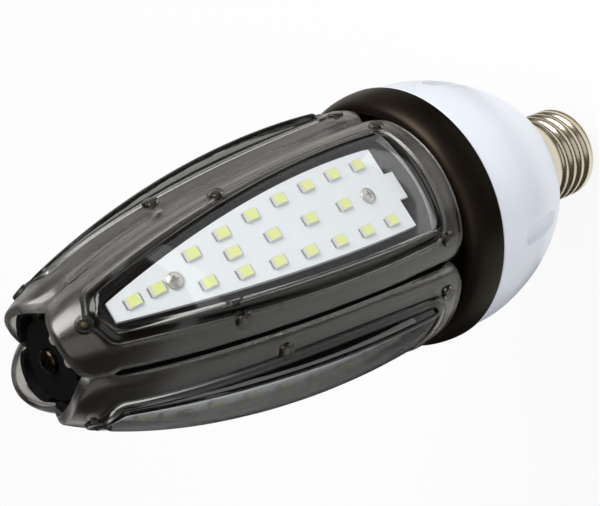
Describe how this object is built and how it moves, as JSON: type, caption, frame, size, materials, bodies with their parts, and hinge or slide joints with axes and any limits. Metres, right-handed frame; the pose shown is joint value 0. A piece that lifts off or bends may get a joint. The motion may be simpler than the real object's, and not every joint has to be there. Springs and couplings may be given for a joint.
{
  "type": "corn led bulb",
  "caption": "Corn LED bulb with curved LED boards under smoked clear covers, a bronze collar, a white driver housing and a screw cap.",
  "frame": {"origin": "centre of the cap's end contact", "axes": "+Z along the bulb's axis from the cap to the nose, +X out of the first module's face"},
  "size_m": [0.0697, 0.0696, 0.1884],
  "materials": {
    "cap_nickel": "nickel plated, polished",
    "cap_insulator": "black, glossy",
    "housing_white": "white, glossy",
    "collar_bronze": "dark bronze, satin",
    "cover_clear": "smoked clear, glossy",
    "gasket_black": "black, matt",
    "sink_black": "black anodised",
    "board_white": "white solder resist",
    "led_package": "pale yellow windows in white packages",
    "zinc_steel": "zinc plated",
    "driver_fibre": "green board",
    "driver_ferrite": "dark ferrite",
    "driver_can": "sleeved can",
    "driver_epoxy": "black moulding"
  },
  "bodies": {
    "root": {"cap_shell": "cap_nickel", "cap_contact": "cap_nickel", "cap_insulator": "cap_insulator", "driver_housing": "housing_white", "collar": "collar_bronze", "cover_1": "cover_clear", "cover_2": "cover_clear", "cover_3": "cover_clear", "cover_4": "cover_clear", "gasket_1": "gasket_black", "gasket_2": "gasket_black", "gasket_3": "gasket_black", "gasket_4": "gasket_black", "heat_sink_1": "sink_black", "heat_sink_2": "sink_black", "heat_sink_3": "sink_black", "heat_sink_4": "sink_black", "nose_plate": "sink_black", "led_board_1": "board_white", "led_board_2": "board_white", "led_board_3": "board_white", "led_board_4": "board_white", "leds_1": "led_package", "leds_2": "led_package", "leds_3": "led_package", "leds_4": "led_package", "nose_screw": "zinc_steel", "centre_rod": "zinc_steel", "board_screws": "zinc_steel", "foot_screws": "zinc_steel", "nose_plate_screws": "zinc_steel", "housing_screws": "zinc_steel", "driver_board": "driver_fibre", "driver_transformer": "driver_ferrite", "driver_choke": "driver_ferrite", "driver_capacitor": "driver_can", "driver_rectifier": "driver_epoxy", "driver_transistor": "driver_epoxy"}
  },
  "joints": []
}
